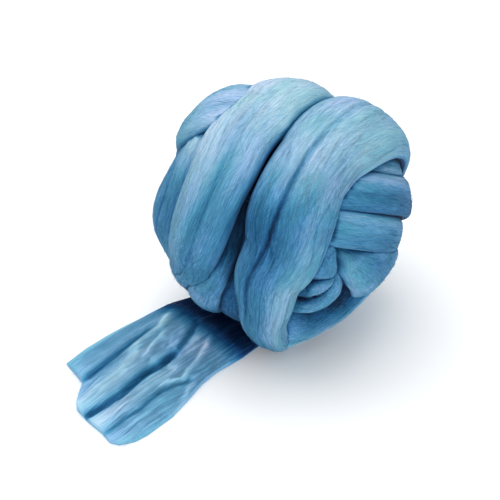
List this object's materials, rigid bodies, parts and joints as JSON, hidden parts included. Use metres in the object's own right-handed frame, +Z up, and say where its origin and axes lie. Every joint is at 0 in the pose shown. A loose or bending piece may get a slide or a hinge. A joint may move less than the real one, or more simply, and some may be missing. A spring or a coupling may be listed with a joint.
{
  "type": "ball of merino wool roving",
  "caption": "Hand-wound ball of combed sky-blue wool roving, broad turns crossing over inner ones, with one flat loose end lying on the surface beside it.",
  "frame": {"origin": "middle of the flat spot on which the ball rests, at the height of the surface", "axes": "+Z up out of the surface, -Y towards the viewer of the picture, +X to the right; the loose end runs out towards -X and -Y"},
  "size_m": [0.1605, 0.152, 0.1201],
  "materials": {
    "wound_wool": "combed wool fibre, soft satin sheen, streaked along the fibres",
    "loose_wool": "combed wool fibre, opened out, soft satin sheen, streaked along the fibres"
  },
  "bodies": {
    "root": {"wound_ball": "wound_wool", "loose_end": "loose_wool"}
  },
  "joints": []
}
